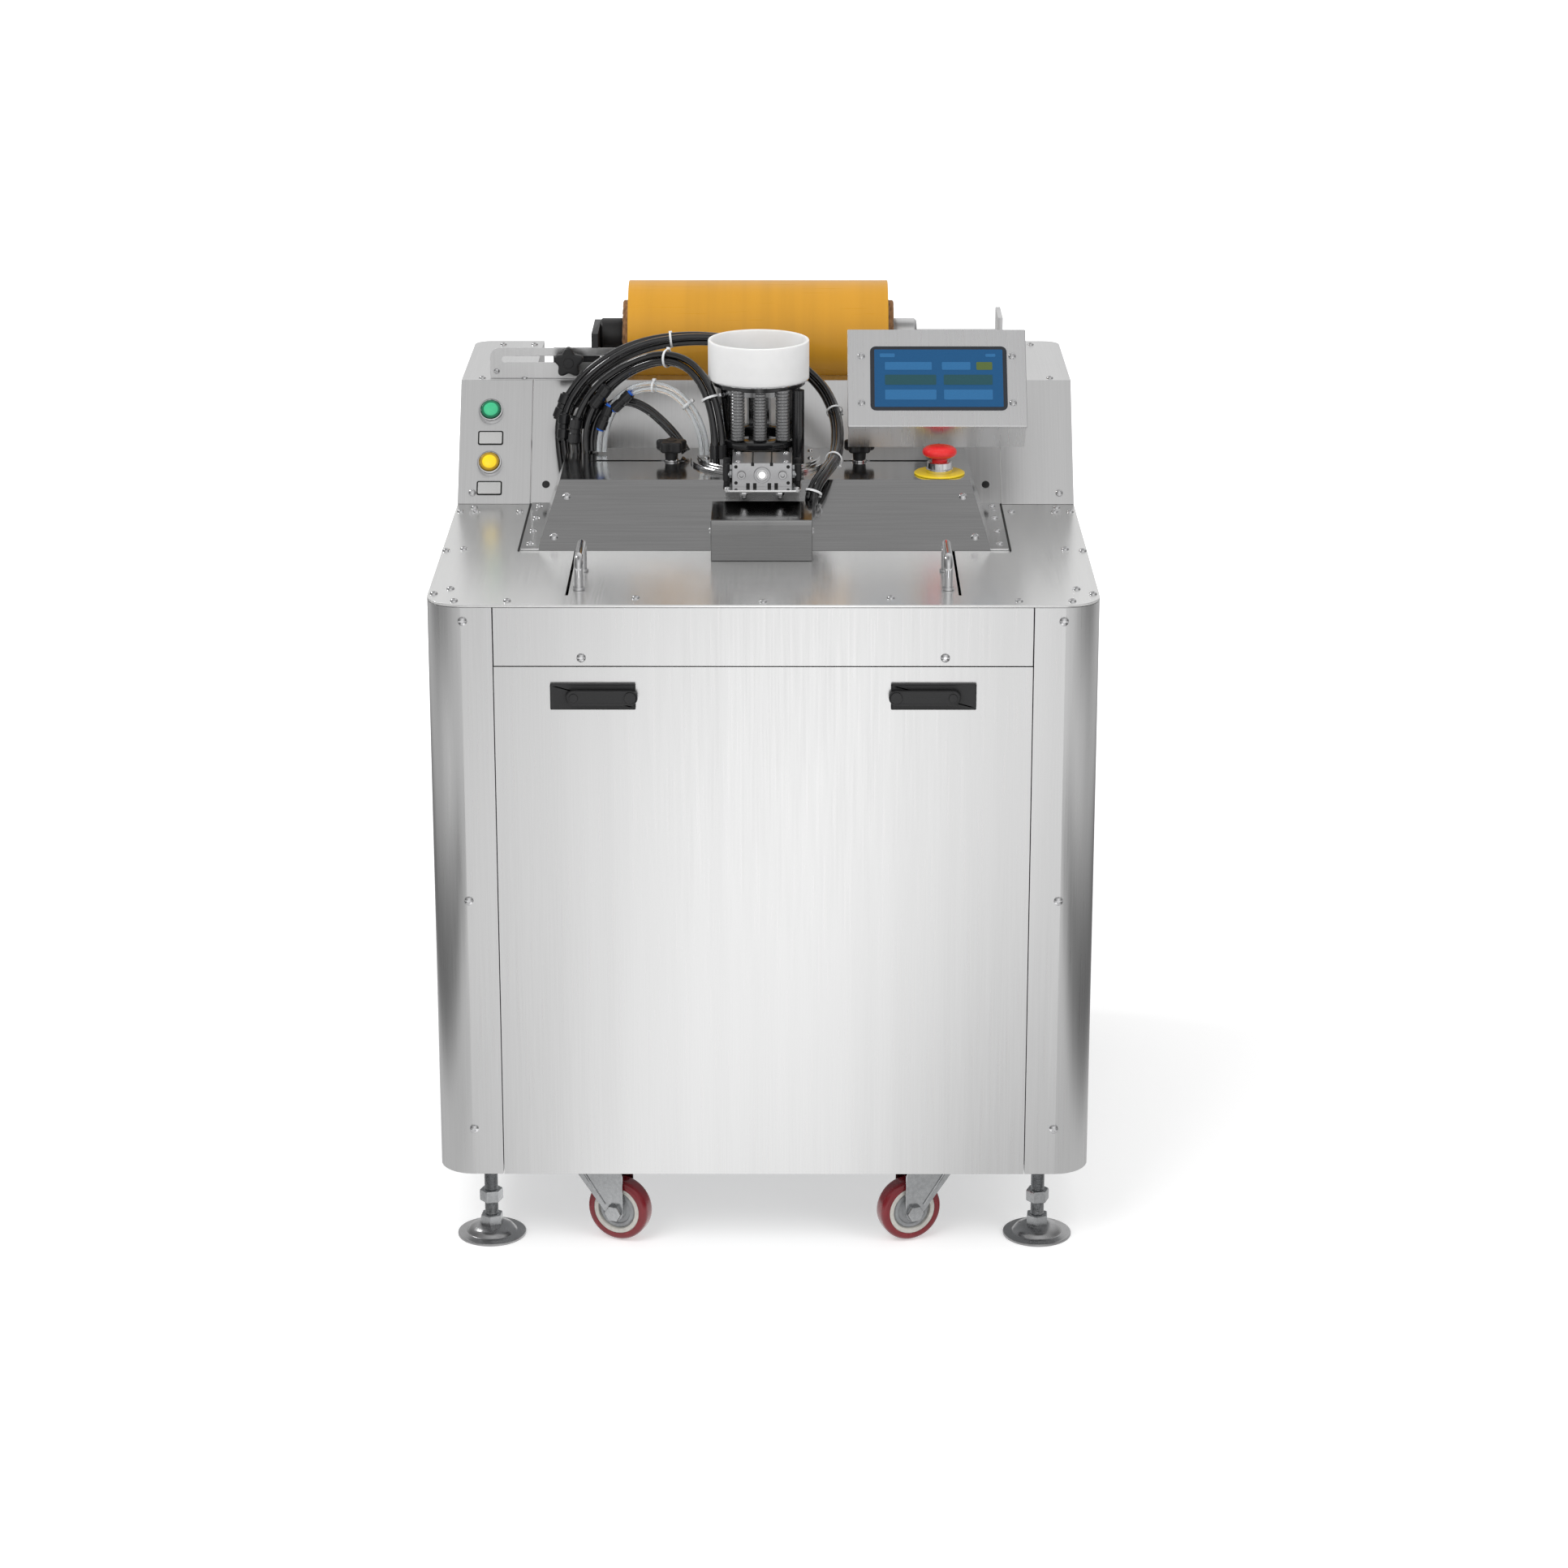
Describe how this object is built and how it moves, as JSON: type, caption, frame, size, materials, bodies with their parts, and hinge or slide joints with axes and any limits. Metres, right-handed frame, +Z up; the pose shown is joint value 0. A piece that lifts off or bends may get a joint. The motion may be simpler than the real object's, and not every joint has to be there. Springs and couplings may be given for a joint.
{
  "type": "fruit film wrapping machine",
  "caption": "Floor-standing stainless machine that wraps single fruit in film: feed cup, pneumatic wrapping head, film roll, tilting touch screen, casters and levelling feet.",
  "frame": {"origin": "on the floor, under the middle of the machine's bounding box", "axes": "+Z up, front (operator) side at -Y, +X to the operator's right"},
  "size_m": [0.75, 0.81, 1.0215],
  "materials": {
    "stainless_panel": "fine vertical brushing, satin",
    "polished_stainless": "near-mirror polish",
    "frame_steel": "grey primer on welded tube",
    "chrome": "bright plating",
    "zinc": "bright zinc plating",
    "aluminium": "clear anodised, matt",
    "black_plastic": "moulded, lightly textured",
    "black_hose": "smooth polyurethane",
    "white_nylon": "turned white nylon",
    "red_tread": "dark red polyurethane tread on a cream rim",
    "amber_film": "wound translucent film",
    "cardboard": "wound brown board",
    "grey_case": "satin grey sheet case with a glass screen",
    "yellow_plate": "yellow disc with a metal collar",
    "red_plastic": "red moulded mushroom head",
    "green_cap": "green lens",
    "yellow_cap": "yellow lens",
    "motor_black": "black paint",
    "cabinet_grey": "grey powder coat"
  },
  "bodies": {
    "cabinet": {"cabinet_frame": "frame_steel", "side_skin_left": "stainless_panel", "side_skin_right": "stainless_panel", "fascia": "stainless_panel", "rear_panel": "stainless_panel", "deck": "polished_stainless", "hood": "polished_stainless", "chute_cover": "polished_stainless", "console_left": "stainless_panel", "console_right": "stainless_panel", "console_panel": "stainless_panel", "rail_handle_left": "chrome", "rail_handle_right": "chrome", "hopper_housing": "black_plastic", "feed_cup": "white_nylon", "guide_cylinder": "aluminium", "hmi_arm": "zinc", "estop_base": "yellow_plate", "start_bezel": "chrome", "reset_bezel": "chrome", "lift_cylinder": "aluminium", "twist_motor": "motor_black", "electrical_box": "cabinet_grey", "hose_bundle_front": "black_hose", "hose_bundle_rear": "black_hose", "roll_slide_plate": "stainless_panel"},
    "door": {"front_door": "stainless_panel", "latch_plate_left": "black_plastic", "latch_plate_right": "black_plastic"},
    "latch_left": {"latch_lever_left": "black_plastic"},
    "latch_right": {"latch_lever_right": "black_plastic"},
    "start_button": {"start_cap": "green_cap"},
    "reset_button": {"reset_cap": "yellow_cap"},
    "estop_button": {"estop_head": "red_plastic"},
    "screen": {"hmi_case": "grey_case"},
    "film_guide_left": {"film_guide_left": "zinc"},
    "film_guide_right": {"film_guide_right": "zinc"},
    "hood_knob_left": {"hood_knob_left": "black_plastic"},
    "hood_knob_right": {"hood_knob_right": "black_plastic"},
    "roll_carrier": {"roll_carrier": "black_plastic"},
    "roll_slide_knob": {"roll_slide_knob": "black_plastic"},
    "film_roll": {"film_roll": "amber_film", "film_core": "cardboard"},
    "film_idler": {"film_idler": "aluminium"},
    "lift_plunger": {"lift_plunger": "white_nylon"},
    "twist_rotor": {"twist_rotor": "aluminium"},
    "motor_pulley": {"motor_pulley": "zinc"},
    "guide_plate": {"guide_plate": "aluminium"},
    "foot_front_left": {"levelling_foot_front_left": "zinc"},
    "caster_front_left": {"caster_fork_front_left": "zinc"},
    "wheel_front_left": {"caster_wheel_front_left": "red_tread"},
    "foot_front_right": {"levelling_foot_front_right": "zinc"},
    "caster_front_right": {"caster_fork_front_right": "zinc"},
    "wheel_front_right": {"caster_wheel_front_right": "red_tread"},
    "foot_rear_left": {"levelling_foot_rear_left": "zinc"},
    "caster_rear_left": {"caster_fork_rear_left": "zinc"},
    "wheel_rear_left": {"caster_wheel_rear_left": "red_tread"},
    "foot_rear_right": {"levelling_foot_rear_right": "zinc"},
    "caster_rear_right": {"caster_fork_rear_right": "zinc"},
    "wheel_rear_right": {"caster_wheel_rear_right": "red_tread"}
  },
  "joints": [
    {"name": "door_tilt", "type": "hinge", "parent": "cabinet", "child": "door", "pos_m": [0, -0.385, 0.112], "axis": [1, 0, 0], "range_deg": [0, 30]},
    {"name": "latch_left_turn", "type": "hinge", "parent": "door", "child": "latch_left", "pos_m": [-0.211, -0.3996, 0.677], "axis": [0, 1, 0], "range_deg": [0, 90]},
    {"name": "latch_right_turn", "type": "hinge", "parent": "door", "child": "latch_right", "pos_m": [0.211, -0.3996, 0.677], "axis": [0, -1, 0], "range_deg": [0, 90]},
    {"name": "start_press", "type": "slide", "parent": "cabinet", "child": "start_button", "axis": [0, -0.8051, 0.5932], "range_m": [-0.003, 0], "stiffness_N_per_m": 600, "springref_m": 0.002},
    {"name": "reset_press", "type": "slide", "parent": "cabinet", "child": "reset_button", "axis": [0, -0.8051, 0.5932], "range_m": [-0.003, 0], "stiffness_N_per_m": 600, "springref_m": 0.002},
    {"name": "estop_press", "type": "slide", "parent": "cabinet", "child": "estop_button", "axis": [0, 0, 1], "range_m": [-0.004, 0], "stiffness_N_per_m": 2000, "springref_m": 0.003},
    {"name": "screen_tilt", "type": "hinge", "parent": "cabinet", "child": "screen", "pos_m": [0.205, 0.04888, 0.8884], "axis": [1, 0, 0], "range_deg": [-25, 0]},
    {"name": "film_guide_left_slide", "type": "slide", "parent": "cabinet", "child": "film_guide_left", "axis": [-1, 0, 0], "range_m": [-0.012, 0.08]},
    {"name": "hood_knob_left_turn", "type": "hinge", "parent": "film_guide_left", "child": "hood_knob_left", "pos_m": [-0.113, 0.03, 0.8453], "axis": [0, 0, 1], "range_deg": [-180, 180]},
    {"name": "film_guide_right_slide", "type": "slide", "parent": "cabinet", "child": "film_guide_right", "axis": [1, 0, 0], "range_m": [-0.012, 0.08]},
    {"name": "hood_knob_right_turn", "type": "hinge", "parent": "film_guide_right", "child": "hood_knob_right", "pos_m": [0.113, 0.03, 0.8453], "axis": [0, 0, 1], "range_deg": [-180, 180]},
    {"name": "roll_carrier_slide", "type": "slide", "parent": "cabinet", "child": "roll_carrier", "axis": [-1, 0, 0], "range_m": [0, 0.06]},
    {"name": "roll_slide_knob_turn", "type": "hinge", "parent": "roll_carrier", "child": "roll_slide_knob", "pos_m": [-0.242, 0.1747, 0.939], "axis": [0, -1, 0], "range_deg": [-180, 180]},
    {"name": "film_roll_spin", "type": "hinge", "parent": "cabinet", "child": "film_roll", "pos_m": [-0.01, 0.255, 0.952], "axis": [1, 0, 0], "continuous": true},
    {"name": "film_idler_spin", "type": "hinge", "parent": "cabinet", "child": "film_idler", "pos_m": [0, 0.217, 0.822], "axis": [1, 0, 0], "continuous": true},
    {"name": "lift_stroke", "type": "slide", "parent": "cabinet", "child": "lift_plunger", "axis": [0, 0, 1], "range_m": [0, 0.06]},
    {"name": "twist_spin", "type": "hinge", "parent": "cabinet", "child": "twist_rotor", "pos_m": [-0.008, 0.029, 0.7], "axis": [0, 0, 1], "continuous": true},
    {"name": "motor_pulley_spin", "type": "hinge", "parent": "cabinet", "child": "motor_pulley", "pos_m": [-0.208, 0.029, 0.7], "axis": [0, 0, 1], "continuous": true},
    {"name": "guide_stroke", "type": "slide", "parent": "cabinet", "child": "guide_plate", "axis": [0, 1, 0], "range_m": [0, 0.02]},
    {"name": "caster_front_left_swivel", "type": "hinge", "parent": "cabinet", "child": "caster_front_left", "pos_m": [-0.187, -0.34, 0.09], "axis": [0, 0, 1], "continuous": true},
    {"name": "wheel_front_left_spin", "type": "hinge", "parent": "caster_front_left", "child": "wheel_front_left", "pos_m": [-0.16846, -0.34749, 0.0387], "axis": [0.3746, 0.9272, 0], "continuous": true},
    {"name": "caster_front_right_swivel", "type": "hinge", "parent": "cabinet", "child": "caster_front_right", "pos_m": [0.187, -0.34, 0.09], "axis": [0, 0, 1], "continuous": true},
    {"name": "wheel_front_right_spin", "type": "hinge", "parent": "caster_front_right", "child": "wheel_front_right", "pos_m": [0.16846, -0.34749, 0.0387], "axis": [0.3746, -0.9272, 0], "continuous": true},
    {"name": "caster_rear_left_swivel", "type": "hinge", "parent": "cabinet", "child": "caster_rear_left", "pos_m": [-0.187, 0.35, 0.09], "axis": [0, 0, 1], "continuous": true},
    {"name": "wheel_rear_left_spin", "type": "hinge", "parent": "caster_rear_left", "child": "wheel_rear_left", "pos_m": [-0.177, 0.36732, 0.0387], "axis": [-0.866, 0.5, 0], "continuous": true},
    {"name": "caster_rear_right_swivel", "type": "hinge", "parent": "cabinet", "child": "caster_rear_right", "pos_m": [0.187, 0.35, 0.09], "axis": [0, 0, 1], "continuous": true},
    {"name": "wheel_rear_right_spin", "type": "hinge", "parent": "caster_rear_right", "child": "wheel_rear_right", "pos_m": [0.177, 0.36732, 0.0387], "axis": [-0.866, -0.5, 0], "continuous": true},
    {"name": "foot_front_left_screw", "type": "slide", "parent": "cabinet", "child": "foot_front_left", "axis": [0, 0, 1], "range_m": [-0.02, 0]},
    {"name": "foot_front_right_screw", "type": "slide", "parent": "cabinet", "child": "foot_front_right", "axis": [0, 0, 1], "range_m": [-0.02, 0]},
    {"name": "foot_rear_left_screw", "type": "slide", "parent": "cabinet", "child": "foot_rear_left", "axis": [0, 0, 1], "range_m": [-0.02, 0]},
    {"name": "foot_rear_right_screw", "type": "slide", "parent": "cabinet", "child": "foot_rear_right", "axis": [0, 0, 1], "range_m": [-0.02, 0]}
  ],
  "couplings": [
    {"joint": "film_idler_spin", "follows": "film_roll_spin", "ratio": 4.6333},
    {"joint": "motor_pulley_spin", "follows": "twist_spin", "ratio": 3}
  ]
}
